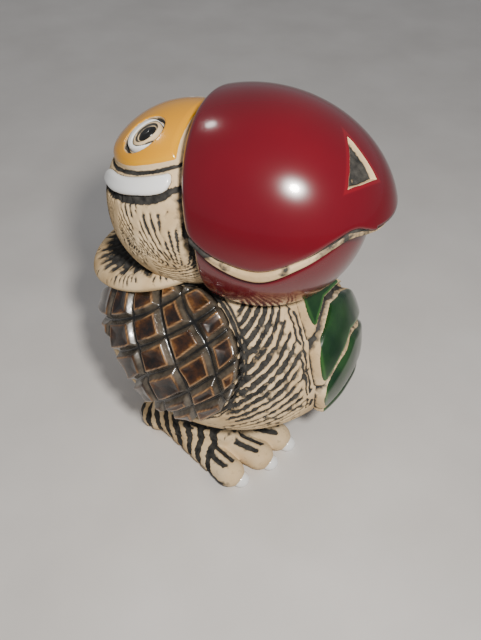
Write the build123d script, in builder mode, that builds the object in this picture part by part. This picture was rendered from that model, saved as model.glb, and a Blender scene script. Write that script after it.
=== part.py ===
"""A hand-carved, glazed stoneware toucan ornament with a very large beak.

The clay is hollow. Body, head and beak are separate thrown shells luted together, and the
wings, plume, tail, feet and face pieces are carved pads stuck on. Nothing moves.

Frame: millimetres, +X is where the beak points, +Y is the bird's left, +Z is up, and the
origin is on the table, under the middle of the box around the whole bird.
"""

from build123d import *
import os
from math import atan2, cos, degrees, radians, sin

os.makedirs("parts", exist_ok=True)

# ---------------------------------------------------------------- driving dimensions
WALL = 4.0  # thickness of the clay shells
FAR = 60.0  # further out than any side of the bird
CEILING = 100.0  # higher than the bird

BODY_CENTRE = (-0.8, 0.0, 25.2)
BODY_RADII = (24.6, 21.5, 19.3)
BODY_LEAN = 5.0  # degrees by which the egg leans forward
BODY_UNDERSIDE = 7.6  # the egg is beaten flat here, between the feet
VENT_DIAMETER = 3.0  # lets the air out of the body in the kiln

HEAD_CENTRE = (-6.5, 0.0, 53.0)
HEAD_RADIUS = 15.0
NECK_DIAMETER = 9.0  # air way from the head down into the body
NARES_DIAMETER = 7.0  # air way from the head forward into the beak

BEAK_CENTRE = (5.4, 0.0, 55.0)
BEAK_RADII = (22.0, 17.0, 18.6)
BEAK_FLOOR = 3.0  # thickness of the floor of the hollow upper half
BEAK_RIM_TOP = (-4.2, 73.0)  # the back rim leans back; two points of it as (x, z)
BEAK_RIM_SIDE = (0.3, 57.0)
LOWER_BEAK_CENTRE = (5.4, 0.0, 56.0)
LOWER_BEAK_RADII = (17.8, 16.3, 18.4)
LOWER_BEAK_BACK = 0.8  # its back stands upright
LIP_CENTRE = (5.4, 0.0, 56.0)
LIP_RADII = (19.8, 16.9, 18.4)
# the smile of the beak, seen from the side as (x, z): underside of the upper half
SMILE = [(-12, 64.0), (0.4, 57.6), (5.2, 55.6), (11.6, 54.8), (17.1, 57.1), (21.2, 59.8), (23.0, 60.5),
         (24.6, 59.6), (26.4, 58.0), (29.0, 56.5)]
LIP_DEPTHS = [1.0, 1.2, 2.4, 3.2, 2.6, 2.1, 2.0, 1.6, 1.0, 0.8]  # depth of the bare lip below each of those

CROWN_THICKNESS = 0.9
CROWN_FRONT_GAP = 3.0  # bare clay between the yellow crown and the beak
FACE_SLOPE = 17.0  # degrees by which the face lines drop towards the back of the head
CROWN_EDGE = (-5.0, 65.0)  # a point (x, z) of the lower edge of the crown
RIGHT_EYE_DIRECTION = (-0.340, -0.378, 0.861)  # from the middle of the head
LEFT_EYE_DIRECTION = (-0.27, 0.585, 0.765)  # carved by eye, a little lower than the right one
EYE_DIAMETER = 6.2
EYE_HEIGHT = 1.1
PUPIL_DIAMETER = 2.6
BAND_DROP = 1.2  # from the edge of the crown down to the white cheek band
BAND_WIDTH = 1.9
BAND_THICKNESS = 0.8
BAND_FRONT = -4.4
BAND_BACK = -6.2  # the band stops this far to the side of the middle of the nape

PAD_THICKNESS = 1.7  # wings and plume stand this far off the body
GROOVE = 0.9  # width of the carved grooves
GROOVE_DEPTH = 1.0
PAD_TO_MIDDLE = 3.0  # the wings stop this far to the side of the middle line

SOLE_HEIGHT = 5.2
INSTEP_CENTRE = (-3.6, -11.6)
INSTEP_LENGTH = 15.0
INSTEP_WIDTH = 8.0
INSTEP_HEIGHT = 9.8
CLAW_SEAT = 1.4  # from the middle of the toe's round end to the back of the claw
CLAW_SIZE = (2.8, 3.6, 3.0)


# ---------------------------------------------------------------- shared blanks
def ellipsoid(centre, radii, lean=0.0):
    """A solid ellipsoid, squashed from a ball whose seam is turned to the back."""
    with BuildPart() as blank:
        with Locations(centre):
            Sphere(10.0, rotation=(0, 0, 180))
        scale(by=tuple(radius / 10.0 for radius in radii), about=centre)
    with BuildPart() as leaning:
        with Locations(Location(centre, (0, lean, 0)) * Location(centre).inverse()):
            add(blank.part)
    return leaning.part


def body_shape(growth):
    """The egg of the body, grown all over by this much."""
    return ellipsoid(BODY_CENTRE, grown(BODY_RADII, growth), BODY_LEAN)


def grown(radii, by):
    return tuple(radius + by for radius in radii)


def side_block(points, smooth=True):
    """A block right across the bird whose side view is the closed outline of points (x, z)."""
    with BuildPart() as block:
        with BuildSketch(Plane.XZ):
            with BuildLine():
                if smooth:
                    Spline(*points, periodic=True)
                else:
                    Polyline(*points, close=True)
            make_face()
        extrude(amount=FAR, both=True)
    return block.part


def front_block(points):
    """A block along the bird whose front view is the closed outline of points (y, z)."""
    with BuildPart() as block:
        with BuildSketch(Plane.YZ):
            with BuildLine():
                Spline(*points, periodic=True)
            make_face()
        extrude(amount=FAR)
    return block.part


def above_curve(points):
    """Everything above a curve drawn in the side view."""
    with BuildPart() as block:
        with BuildSketch(Plane.XZ):
            with BuildLine():
                curve = Spline(*points)
                Polyline(curve @ 1, (points[-1][0], CEILING), (points[0][0], CEILING), curve @ 0)
            make_face()
        extrude(amount=FAR, both=True)
    return block.part


def lowered(points, depths):
    return [(x, z - depth) for (x, z), depth in zip(points, depths)]


def finish(part, name):
    """Name a finished piece and write it out."""
    part.label = name
    export_step(part, f"parts/{name}.step")


def mirrored(part):
    """The same piece on the bird's left."""
    with BuildPart() as other:
        mirror(part, about=Plane.XZ)
    return other.part


body_egg = body_shape(0.0)
pad_egg = body_shape(PAD_THICKNESS)
groove_floor_egg = body_shape(PAD_THICKNESS - GROOVE_DEPTH)

with BuildPart() as head_ball:
    with Locations(HEAD_CENTRE):
        Sphere(HEAD_RADIUS)

# the plane of the back rim of the beak, facing forward
rim_rise = BEAK_RIM_TOP[1] - BEAK_RIM_SIDE[1]
rim_run = BEAK_RIM_TOP[0] - BEAK_RIM_SIDE[0]
rim_lean = degrees(atan2(-rim_run, rim_rise))
rim_normal = Vector(cos(radians(rim_lean)), 0, sin(radians(rim_lean)))
rim_plane = Plane(origin=(BEAK_RIM_SIDE[0], 0, BEAK_RIM_SIDE[1]), z_dir=rim_normal)

# the plane of the face lines, facing up
face_normal = Vector(-sin(radians(FACE_SLOPE)), 0, cos(radians(FACE_SLOPE)))
face_plane = Plane(origin=(CROWN_EDGE[0], 0, CROWN_EDGE[1]), z_dir=face_normal)

# ---------------------------------------------------------------- body
BREAST_STROKES = 9
BREAST_PITCH = 2.9
BREAST_CUT_DEPTH = 0.5
BREAST_SLOPE = 48

with BuildPart() as breast_strokes:
    # slanting knife strokes on both sides of the plume, rising towards the front
    for index in range(BREAST_STROKES):
        with Locations(Location((13.5, -15.0, 14.0 + BREAST_PITCH * index), (0, 0, 42))):
            Box(10.0, 14.0, 1.0, rotation=(0, -BREAST_SLOPE, 0))
    add(body_shape(-BREAST_CUT_DEPTH), mode=Mode.SUBTRACT)
    mirror(about=Plane.XZ)

with BuildPart() as body:
    add(body_egg)
    split(bisect_by=Plane.XY.offset(BODY_UNDERSIDE), keep=Keep.TOP)
    add(head_ball.part, mode=Mode.SUBTRACT)
    add(breast_strokes.part, mode=Mode.SUBTRACT)
    add(body_shape(-WALL), mode=Mode.SUBTRACT)
    with Locations((0, 0, BODY_UNDERSIDE)):
        Cylinder(VENT_DIAMETER / 2, 3 * WALL, mode=Mode.SUBTRACT)
finish(body.part, "body")

# ---------------------------------------------------------------- head
with BuildPart() as head:
    add(head_ball.part)
    with Locations(HEAD_CENTRE):
        Sphere(HEAD_RADIUS - WALL, mode=Mode.SUBTRACT)
        Cylinder(NECK_DIAMETER / 2, 2 * HEAD_RADIUS, align=(Align.CENTER, Align.CENTER, Align.MAX),
                 mode=Mode.SUBTRACT)
        Cylinder(NARES_DIAMETER / 2, 2 * HEAD_RADIUS, rotation=(0, 60, 0),
                 align=(Align.CENTER, Align.CENTER, Align.MIN), mode=Mode.SUBTRACT)
finish(head.part, "head")

# ---------------------------------------------------------------- beak
above_smile = above_curve(SMILE)
lip_line = lowered(SMILE, LIP_DEPTHS)
above_lip_line = above_curve(lip_line)
NOSTRIL_CORNERS = [Vector(18.2, -0.5, 70.0), Vector(23.2, -1.7, 65.0), Vector(20.5, -6.6, 65.6)]
NOSTRIL_DEPTH = 1.3

nostril_normal = (NOSTRIL_CORNERS[2] - NOSTRIL_CORNERS[0]).cross(NOSTRIL_CORNERS[1] - NOSTRIL_CORNERS[0])
nostril_plane = Plane(origin=NOSTRIL_CORNERS[0], z_dir=nostril_normal)
nostril_outline = [nostril_plane.to_local_coords(corner) for corner in NOSTRIL_CORNERS]

with BuildPart() as nostril_cut:
    # one triangular cut beside the ridge, near the tip, on the right
    with BuildSketch(nostril_plane.offset(-NOSTRIL_DEPTH)):
        with BuildLine():
            Polyline(*[(corner.X, corner.Y) for corner in nostril_outline], close=True)
        make_face()
    extrude(amount=4 * NOSTRIL_DEPTH)

with BuildPart() as beak_cavity:
    add(ellipsoid(BEAK_CENTRE, grown(BEAK_RADII, -WALL)))
    split(bisect_by=rim_plane.offset(WALL), keep=Keep.TOP)
    add(above_curve(lowered(SMILE, [-BEAK_FLOOR] * len(SMILE))), mode=Mode.INTERSECT)

with BuildPart() as upper_beak:
    add(ellipsoid(BEAK_CENTRE, BEAK_RADII))
    split(bisect_by=rim_plane, keep=Keep.TOP)
    add(above_smile, mode=Mode.INTERSECT)
    add(head_ball.part, mode=Mode.SUBTRACT)
    add(beak_cavity.part, mode=Mode.SUBTRACT)
    add(nostril_cut.part, mode=Mode.SUBTRACT)
finish(upper_beak.part, "upper_beak")

with BuildPart() as beak_lip:
    add(ellipsoid(LIP_CENTRE, LIP_RADII))
    split(bisect_by=rim_plane.offset(0.5), keep=Keep.TOP)
    add(above_lip_line, mode=Mode.INTERSECT)
    add(above_smile, mode=Mode.SUBTRACT)
    add(head_ball.part, mode=Mode.SUBTRACT)
finish(beak_lip.part, "beak_lip")

with BuildPart() as lower_beak:
    add(ellipsoid(LOWER_BEAK_CENTRE, LOWER_BEAK_RADII))
    split(bisect_by=Plane.YZ.offset(LOWER_BEAK_BACK), keep=Keep.TOP)
    add(above_lip_line, mode=Mode.SUBTRACT)
    add(head_ball.part, mode=Mode.SUBTRACT)
    add(body_egg, mode=Mode.SUBTRACT)
finish(lower_beak.part, "lower_beak")

# ---------------------------------------------------------------- crown, eyes, cheek bands
def rod(plane, diameter):
    """A rod from the middle of the head outwards."""
    with BuildPart() as bar:
        with BuildSketch(plane):
            Circle(diameter / 2)
        extrude(amount=2 * HEAD_RADIUS)
    return bar.part


def skin(thickness):
    """A layer over the head ball."""
    with BuildPart() as layer:
        with Locations(HEAD_CENTRE):
            Sphere(HEAD_RADIUS + thickness)
            Sphere(HEAD_RADIUS, mode=Mode.SUBTRACT)
    return layer.part


def eye_plane(direction):
    """A plane in the middle of the head that faces out through the eye."""
    return Plane(origin=HEAD_CENTRE, z_dir=direction, x_dir=(1, 0, 0))


eye_directions = {"right": RIGHT_EYE_DIRECTION, "left": LEFT_EYE_DIRECTION}
eye_rods = {side: rod(eye_plane(facing), EYE_DIAMETER) for side, facing in eye_directions.items()}

with BuildPart() as crown:
    add(skin(CROWN_THICKNESS))
    split(bisect_by=face_plane, keep=Keep.TOP)
    split(bisect_by=rim_plane.offset(-CROWN_FRONT_GAP), keep=Keep.BOTTOM)
    add(eye_rods["right"], mode=Mode.SUBTRACT)
    add(eye_rods["left"], mode=Mode.SUBTRACT)
finish(crown.part, "crown")

for side, facing in eye_directions.items():
    pupil_rod = rod(eye_plane(facing), PUPIL_DIAMETER)
    with BuildPart() as eye_white:
        add(eye_rods[side])
        add(skin(EYE_HEIGHT), mode=Mode.INTERSECT)
        add(pupil_rod, mode=Mode.SUBTRACT)
    finish(eye_white.part, f"{side}_eye_white")
    with BuildPart() as pupil:
        add(pupil_rod)
        add(skin(EYE_HEIGHT + 0.2), mode=Mode.INTERSECT)
    finish(pupil.part, f"{side}_pupil")

with BuildPart() as right_cheek_band:
    add(skin(BAND_THICKNESS))
    split(bisect_by=face_plane.offset(-BAND_DROP), keep=Keep.BOTTOM)
    split(bisect_by=face_plane.offset(-BAND_DROP - BAND_WIDTH), keep=Keep.TOP)
    split(bisect_by=Plane.YZ.offset(BAND_FRONT), keep=Keep.BOTTOM)
    split(bisect_by=Plane.XZ.offset(-BAND_BACK), keep=Keep.TOP)
finish(right_cheek_band.part, "right_cheek_band")
finish(mirrored(right_cheek_band.part), "left_cheek_band")

# ---------------------------------------------------------------- tail
TAIL_TILT = 17.0
TAIL_CENTRE = (-13.4, 0, 42.8)
TAIL_RADII = (14.8, 14.8)
TAIL_THICKNESS = 3.2
TAIL_EDGE = 1.3  # radius of the rounded rim
TAIL_RAYS = 7
TAIL_RAY_SPREAD = 19.0
TAIL_RAY_MIDDLE = 10.0  # how far the middle of a ray is from the middle of the tail
TAIL_RAY_SIZE = (13.0, 0.9)
TAIL_RAY_DEPTH = 0.6

tail_ahead = Vector(cos(radians(TAIL_TILT)), 0, sin(radians(TAIL_TILT)))
tail_plane = Plane(origin=TAIL_CENTRE, x_dir=tail_ahead, z_dir=tail_ahead.cross(Vector(0, 1, 0)))

with BuildPart() as tail_blank:
    with BuildSketch(tail_plane):
        Ellipse(*TAIL_RADII)
    extrude(amount=-TAIL_THICKNESS)
    fillet(tail_blank.edges(), radius=TAIL_EDGE)

with BuildPart() as tail:
    add(tail_blank.part)
    for index in range(TAIL_RAYS):
        turn = TAIL_RAY_SPREAD * (index - (TAIL_RAYS - 1) / 2)
        with BuildSketch(tail_plane):
            with Locations(Location((0, 0), turn)):
                with Locations((-TAIL_RAY_MIDDLE, 0)):
                    SlotOverall(*TAIL_RAY_SIZE)
        extrude(amount=-TAIL_RAY_DEPTH, mode=Mode.SUBTRACT)
    add(body_egg, mode=Mode.SUBTRACT)
    add(head_ball.part, mode=Mode.SUBTRACT)
finish(tail.part, "tail")

# ---------------------------------------------------------------- wings
WING_OUTLINE = [(-24.6, 31.0), (-22.0, 36.5), (-15.5, 40.0), (-8.0, 43.0), (-1.0, 45.0), (4.0, 43.6),
                (8.0, 38.5), (9.6, 32.0), (8.6, 26.0), (5.0, 20.5), (0.0, 18.4), (-7.0, 21.6), (-14.0, 24.4),
                (-20.0, 26.0)]
LONG_GROOVES = [((-15.0, 41.0), (-5.0, 19.0)), ((-9.5, 43.5), (1.5, 18.5)), ((-4.0, 45.5), (6.0, 20.0))]
CROSS_GROOVES = [((-26.0, 29.5), (2.0, 46.0)), ((-24.0, 26.0), (8.0, 42.5)), ((-20.0, 23.6), (10.0, 37.0)),
                 ((-15.0, 21.5), (10.0, 31.5)), ((-8.0, 20.0), (10.0, 26.5))]


def slab_between(start, end):
    """A thin wall right across the bird, standing on a line of the side view."""
    run = end[0] - start[0]
    rise = end[1] - start[1]
    middle = ((start[0] + end[0]) / 2, 0, (start[1] + end[1]) / 2)
    with BuildPart() as slab:
        with Locations(Location(middle, (0, -degrees(atan2(rise, run)), 0))):
            Box((run * run + rise * rise) ** 0.5, 120, GROOVE)
    return slab.part


with BuildPart() as wing_grooves:
    for start, end in LONG_GROOVES + CROSS_GROOVES:
        add(slab_between(start, end))
    add(groove_floor_egg, mode=Mode.SUBTRACT)

with BuildPart() as wing_blank:
    add(pad_egg)
    add(side_block(WING_OUTLINE), mode=Mode.INTERSECT)
    split(bisect_by=Plane.XZ.offset(PAD_TO_MIDDLE), keep=Keep.TOP)
    add(body_egg, mode=Mode.SUBTRACT)
    add(head_ball.part, mode=Mode.SUBTRACT)
    add(tail_blank.part, mode=Mode.SUBTRACT)
    add(lower_beak.part, mode=Mode.SUBTRACT)

with BuildPart() as carved_wing:
    add(wing_blank.part)
    add(wing_grooves.part, mode=Mode.SUBTRACT)

with BuildPart() as right_wing:
    # the pad itself, without the crumbs that the cuts leave at its edge
    add(carved_wing.solids().sort_by(SortBy.VOLUME)[-1])
finish(right_wing.part, "right_wing")
finish(mirrored(right_wing.part), "left_wing")

# ---------------------------------------------------------------- plume on the chest
PLUME_OUTLINE = [(0.0, 43.6), (4.6, 42.4), (8.2, 38.8), (10.6, 33.6), (11.4, 27.6), (10.0, 20.4), (5.4, 17.4),
                 (0.0, 16.8), (-5.4, 17.4), (-10.0, 20.4), (-11.4, 27.6), (-10.6, 33.6), (-8.2, 38.8), (-4.6, 42.4)]
CHEVRON_PEAKS = [41.5, 34.5, 27.0]
CHEVRON_FALL = 15.0
CHEVRON_REACH = 14.0

with BuildPart() as chevrons:
    # the cuts between the four tiers of feathers, peaked on the middle line
    for peak in CHEVRON_PEAKS:
        with BuildSketch(Plane.YZ):
            with BuildLine():
                Polyline((0, peak), (CHEVRON_REACH, peak - CHEVRON_FALL),
                         (CHEVRON_REACH, peak - CHEVRON_FALL - GROOVE), (0, peak - 1.6 * GROOVE),
                         (-CHEVRON_REACH, peak - CHEVRON_FALL - GROOVE), (-CHEVRON_REACH, peak - CHEVRON_FALL),
                         close=True)
            make_face()
        extrude(amount=FAR)
    add(groove_floor_egg, mode=Mode.SUBTRACT)

with BuildPart() as plume:
    add(pad_egg)
    add(front_block(PLUME_OUTLINE), mode=Mode.INTERSECT)
    add(body_egg, mode=Mode.SUBTRACT)
    add(lower_beak.part, mode=Mode.SUBTRACT)
    add(chevrons.part, mode=Mode.SUBTRACT)
finish(plume.part, "plume")

# ---------------------------------------------------------------- feet and claws
HEEL = (-12.6, -11.2)
TOE_TIPS = [(7.4, -18.4), (11.2, -12.4), (12.8, -6.7)]
TOE_WIDTH = 6.0
HEEL_WIDTH = 8.4
STRIPES = 6
STRIPE_PITCH = 3.4
STRIPE_SIZE = (1.0, 2.0, 6.0)


def toe_slot(tip, width):
    """A round-ended bar in plan, from the heel to the end of a toe."""
    reach = Vector(*tip) - Vector(*HEEL)
    with Locations(((HEEL[0] + tip[0]) / 2, (HEEL[1] + tip[1]) / 2)):
        SlotCenterToCenter(reach.length, width, rotation=degrees(atan2(reach.Y, reach.X)))


with BuildPart() as right_foot:
    with BuildSketch():
        for tip in TOE_TIPS:
            toe_slot(tip, TOE_WIDTH)
        with Locations(HEEL):
            Circle(HEEL_WIDTH / 2)
    extrude(amount=SOLE_HEIGHT)
    fillet(right_foot.edges().group_by(Axis.Z)[-1], radius=1.5)
    # the instep stands up to meet the body
    with BuildSketch(Plane.XY.offset(1.0)):
        with Locations(INSTEP_CENTRE):
            SlotCenterToCenter(INSTEP_LENGTH, INSTEP_WIDTH)
    extrude(amount=INSTEP_HEIGHT - 1.0)
    for index in range(STRIPES):
        with Locations((-13.0 + STRIPE_PITCH * index, -15.4 - 0.32 * index, 2.6)):
            Box(*STRIPE_SIZE, rotation=(0, 8, 0), mode=Mode.SUBTRACT)
    for tip in TOE_TIPS:
        with Locations((tip[0] + CLAW_SEAT, tip[1], 0)):
            Box(*CLAW_SIZE, align=(Align.MIN, Align.CENTER, Align.MIN), mode=Mode.SUBTRACT)
    add(body_egg, mode=Mode.SUBTRACT)
finish(right_foot.part, "right_foot")
finish(mirrored(right_foot.part), "left_foot")

for place, tip in zip(("outer", "middle", "inner"), TOE_TIPS):
    with BuildPart() as claw:
        with Locations((tip[0] + CLAW_SEAT, tip[1], 0)):
            Box(*CLAW_SIZE, align=(Align.MIN, Align.CENTER, Align.MIN))
        fillet(claw.faces().sort_by(Axis.X)[-1].edges().filter_by(Axis.Y, reverse=True), radius=1.2)
    finish(mirrored(claw.part), f"left_{place}_claw")
    finish(claw.part, f"right_{place}_claw")
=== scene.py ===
# %% [markdown]
# A hand-carved, glazed stoneware toucan, built the way a potter builds it: thrown shells for
# the body, the head and the beak, then carved pads of clay laid over them, then glaze.
#
# This scene adds the looks to a model whose solids already exist. Each piece made here takes
# the place of one of those solids, in the same place and at the same size, and in metres.

# %% Load the frame
import math

import bpy
import numpy as np
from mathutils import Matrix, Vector


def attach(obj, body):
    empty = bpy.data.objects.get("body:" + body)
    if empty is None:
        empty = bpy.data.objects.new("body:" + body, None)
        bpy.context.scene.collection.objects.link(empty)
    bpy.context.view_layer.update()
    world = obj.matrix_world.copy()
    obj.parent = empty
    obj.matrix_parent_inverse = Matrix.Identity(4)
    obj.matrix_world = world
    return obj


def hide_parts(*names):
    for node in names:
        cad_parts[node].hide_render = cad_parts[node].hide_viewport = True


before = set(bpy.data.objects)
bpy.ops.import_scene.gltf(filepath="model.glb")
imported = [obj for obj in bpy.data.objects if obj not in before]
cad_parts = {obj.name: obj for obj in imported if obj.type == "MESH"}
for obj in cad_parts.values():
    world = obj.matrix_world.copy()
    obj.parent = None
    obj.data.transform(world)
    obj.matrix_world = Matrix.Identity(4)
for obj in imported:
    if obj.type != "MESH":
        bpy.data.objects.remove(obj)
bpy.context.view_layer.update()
HAIR = 1e-6  # metres; cuts closer than this count as one
MM = 0.001
print("solids in the frame:", len(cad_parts))

# %% [markdown]
# Blender's operators act on whatever is selected, so a piece starts with nothing selected.
# Potters start from a ball. So does each piece here: a finely divided ball whose points are
# pushed to where the clay ends, as sculpting does by hand. Code does the pushing, because the
# carved strokes have to meet the glaze colours exactly.

# %% Helpers for balls of clay
def start_clean():
    if bpy.context.object and bpy.context.object.mode != "OBJECT":
        bpy.ops.object.mode_set(mode="OBJECT")
    bpy.ops.object.select_all(action="DESELECT")


def only(piece):
    """Select this piece and nothing else."""
    start_clean()
    piece.select_set(True)
    bpy.context.view_layer.objects.active = piece


def clay_ball(name, divisions):
    """A unit ball of even triangles at the origin."""
    start_clean()
    bpy.ops.mesh.primitive_ico_sphere_add(subdivisions=divisions, radius=1.0)
    ball = bpy.context.object
    ball.name = name
    return ball


def read_points(piece):
    count = len(piece.data.vertices)
    flat = np.empty(count * 3)
    piece.data.vertices.foreach_get("co", flat)
    return flat.reshape(count, 3)


def write_points(piece, points):
    piece.data.vertices.foreach_set("co", points.reshape(-1))
    piece.data.update()


def mark(piece, **amounts):
    """Store how much wash and painted shade, glaze and so on each point carries, for the finish to read."""
    for name, values in amounts.items():
        layer = piece.data.attributes.new(name, "FLOAT", "POINT")
        amount = np.broadcast_to(np.clip(values, 0.0, 1.0), len(piece.data.vertices))
        layer.data.foreach_set("value", amount.astype(np.float32))


def select_points(piece, chosen):
    only(piece)
    bpy.ops.object.mode_set(mode="EDIT")
    bpy.ops.mesh.select_mode(type="VERT")
    bpy.ops.mesh.select_all(action="DESELECT")
    bpy.ops.object.mode_set(mode="OBJECT")
    piece.data.vertices.foreach_set("select", np.asarray(chosen, dtype=bool))
    bpy.ops.object.mode_set(mode="EDIT")


def keep_patch(piece, keep):
    """Cut away the points that aren't wanted and leave an open patch of skin."""
    select_points(piece, ~keep)
    bpy.ops.mesh.delete(type="VERT")
    bpy.ops.object.mode_set(mode="OBJECT")


def close_patch(piece):
    """Close the underside of a patch with one face, and turn all faces outwards."""
    only(piece)
    bpy.ops.object.mode_set(mode="EDIT")
    bpy.ops.mesh.select_mode(type="EDGE")
    bpy.ops.mesh.select_all(action="DESELECT")
    bpy.ops.mesh.select_non_manifold(extend=False)
    bpy.ops.mesh.edge_face_add()
    bpy.ops.mesh.select_all(action="SELECT")
    bpy.ops.mesh.normals_make_consistent(inside=False)
    bpy.ops.object.mode_set(mode="OBJECT")
    bpy.ops.object.shade_smooth()


def cut_flat(piece, place, facing):
    """Cut the piece with a wire, keep the side that the cut faces, and close it."""
    only(piece)
    bpy.ops.object.mode_set(mode="EDIT")
    bpy.ops.mesh.select_all(action="SELECT")
    bpy.ops.mesh.bisect(plane_co=place, plane_no=facing, use_fill=True, clear_inner=True, threshold=HAIR)
    bpy.ops.mesh.select_all(action="SELECT")
    bpy.ops.mesh.normals_make_consistent(inside=False)
    bpy.ops.object.mode_set(mode="OBJECT")
    bpy.ops.object.shade_smooth()


def finish_piece(piece, material, slot, *nodes):
    piece.data.materials.clear()
    piece.data.materials.append(material)
    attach(piece, "root")
    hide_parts(*nodes)
    print(piece.name, "faces:", len(piece.data.polygons))


# %% [markdown]
# Hand work is never even. This noise is a fixed lattice of random numbers, blended between,
# so that it comes out the same every time the scene is built.

# %% Unevenness of hand work
DUST = 0.20  # wash that stayed as specks all over the bare clay
LATTICE = np.random.default_rng(7).random((32, 32, 32))


def unevenness(points, grain, offset=0.0):
    """A smooth random value from 0 to 1 at each point; grain is its size in millimetres."""
    place = points / (grain * MM) + 100.0 + offset
    cell = np.floor(place).astype(int)
    t = place - cell
    t = t * t * (3 - 2 * t)
    total = np.zeros(len(points))
    for dx in (0, 1):
        for dy in (0, 1):
            for dz in (0, 1):
                corner = (cell + (dx, dy, dz)) % 32
                weight = np.abs(1 - dx - t[:, 0]) * np.abs(1 - dy - t[:, 1]) * np.abs(1 - dz - t[:, 2])
                total += weight * LATTICE[corner[:, 0], corner[:, 1], corner[:, 2]]
    return total


def rounded(first, second, radius):
    """The larger of two distances, with the corner between them rounded off."""
    near = np.clip(radius - np.abs(first - second), 0, None) / radius
    return np.maximum(first, second) + near * near * radius / 4


def ramp(low, high, values):
    t = np.clip((values - low) / (high - low), 0.0, 1.0)
    return t * t * (3 - 2 * t)


def bell(values, middle, width):
    return np.exp(-((values - middle) / width) ** 2)


# %% [markdown]
# The body is an egg that leans forward by 5 degrees. Places on it are given as on a globe:
# how far round from the breast towards the side, and how high, both in degrees. Pads and
# carved lines are laid out with these, and distances are then measured in real millimetres.

# %% The egg of the body, as a globe
BODY_CENTRE = np.array((-0.8, 0.0, 25.2)) * MM
BODY_RADII = np.array((24.6, 21.5, 19.3)) * MM
BODY_LEAN = math.radians(5.0)
UNDERSIDE = 7.6 * MM


def on_body(ways, height):
    """Points on the egg in these directions, raised by this height in metres."""
    grown = (BODY_RADII + np.reshape(height, (-1, 1))) * ways
    cos, sin = math.cos(BODY_LEAN), math.sin(BODY_LEAN)
    turned = np.stack((cos * grown[:, 0] + sin * grown[:, 2], grown[:, 1],
                       cos * grown[:, 2] - sin * grown[:, 0]), axis=1)
    return turned + BODY_CENTRE


def round_and_up(ways):
    """Degrees round to the bird's right, and degrees up."""
    around = np.degrees(np.arctan2(-ways[:, 1], ways[:, 0]))
    return around, np.degrees(np.arcsin(np.clip(ways[:, 2], -1, 1)))


def way(around, up):
    around, up = np.radians(around), np.radians(up)
    return np.stack((np.cos(up) * np.cos(around), -np.cos(up) * np.sin(around), np.sin(up)), axis=-1)


def flowing(corners, closed=False, steps=24):
    """A smooth line through a few corners (a Catmull-Rom curve)."""
    corners = np.array(corners, float)
    if closed:
        framed = np.vstack((corners[-1:], corners, corners[:2]))
    else:
        framed = np.vstack((2 * corners[0] - corners[1], corners, 2 * corners[-1] - corners[-2]))
    line = []
    for a, b, c, d in zip(framed, framed[1:], framed[2:], framed[3:]):
        for t in np.linspace(0, 1, steps, endpoint=False):
            line.append(0.5 * (2 * b + (c - a) * t + (2 * a - 5 * b + 4 * c - d) * t * t
                               + (3 * b - a - 3 * c + d) * t ** 3))
    if not closed:
        line.append(corners[-1])
    return np.array(line)


def distance_to(points, line_points):
    """Millimetres from each point to the nearest point of a line."""
    nearest = np.full(len(points), 1e9)
    for start in range(0, len(points), 20000):
        block = points[start:start + 20000]
        gaps = ((block[:, None, :] - line_points[None, :, :]) ** 2).sum(axis=2)
        nearest[start:start + 20000] = np.sqrt(gaps.min(axis=1))
    return nearest / MM


def within(around, up, outline):
    """Which places lie within a closed outline on the globe."""
    inside = np.zeros(len(around), bool)
    for (a0, u0), (a1, u1) in zip(outline, np.roll(outline, -1, axis=0)):
        if u0 == u1:
            continue
        crosses = (u0 > up) != (u1 > up)
        inside ^= crosses & (around < (a1 - a0) * (up - u0) / (u1 - u0) + a0)
    return inside


def inset_from(ways, outline):
    """Millimetres inwards from an outline on the body; less than 0 outside it."""
    around, up = round_and_up(ways)
    line = flowing(outline, closed=True)
    edge = on_body(way(line[:, 0], line[:, 1]), 0.0)
    gap = distance_to(on_body(ways, 0.0), edge)
    return np.where(within(around, up, line), gap, -gap)


# %% [markdown]
# The head is a plain ball. Its face lines all run parallel to one sloping plane: the edge of
# the yellow crown, the carved line under it and the white band. So a single height above that
# plane is enough to lay them out.

# %% The ball of the head
HEAD_CENTRE = np.array((-6.5, 0.0, 53.0)) * MM
HEAD_RADIUS = 15.0 * MM
FACE_SLOPE = math.radians(17.0)
FACE_UP = np.array((-math.sin(FACE_SLOPE), 0.0, math.cos(FACE_SLOPE)))
CROWN_LINE = 11.0  # millimetres above the middle of the head, along FACE_UP
BAND_TOP = CROWN_LINE - 1.2
BAND_BOTTOM = BAND_TOP - 1.9
RIM_LEAN = math.radians(15.7)
RIM_FACING = np.array((math.cos(RIM_LEAN), 0.0, math.sin(RIM_LEAN)))
RIM_PLACE = np.array((0.3, 0.0, 57.0)) * MM


def on_head(ways, height):
    return HEAD_CENTRE + (HEAD_RADIUS + np.reshape(height, (-1, 1))) * ways


def face_height(ways):
    return ways @ FACE_UP * (HEAD_RADIUS / MM)


def behind_rim(points):
    """Millimetres behind the back rim of the beak."""
    return -(points - RIM_PLACE) @ RIM_FACING / MM


# %% [markdown]
# Now the finishes. Fired clay is rough and a little uneven in colour. A dark oxide wash was
# brushed over all of it and wiped off again, so it stays only in the cuts. The same dark stain
# also paints shade into the creases where parts meet and low down by the table. Glaze is glass:
# it is dark where it lies thick and lets the clay through where it runs thin, on sharp edges.
# One recipe makes all of them. It mixes rough clay and glossy glaze by the marks on the piece.

# %% Recipe for fired clay with wash and glaze
def new_node(tree, kind, place, **settings):
    node = tree.nodes.new(kind)
    node.location = place
    for name, value in settings.items():
        setattr(node, name, value)
    return node


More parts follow.
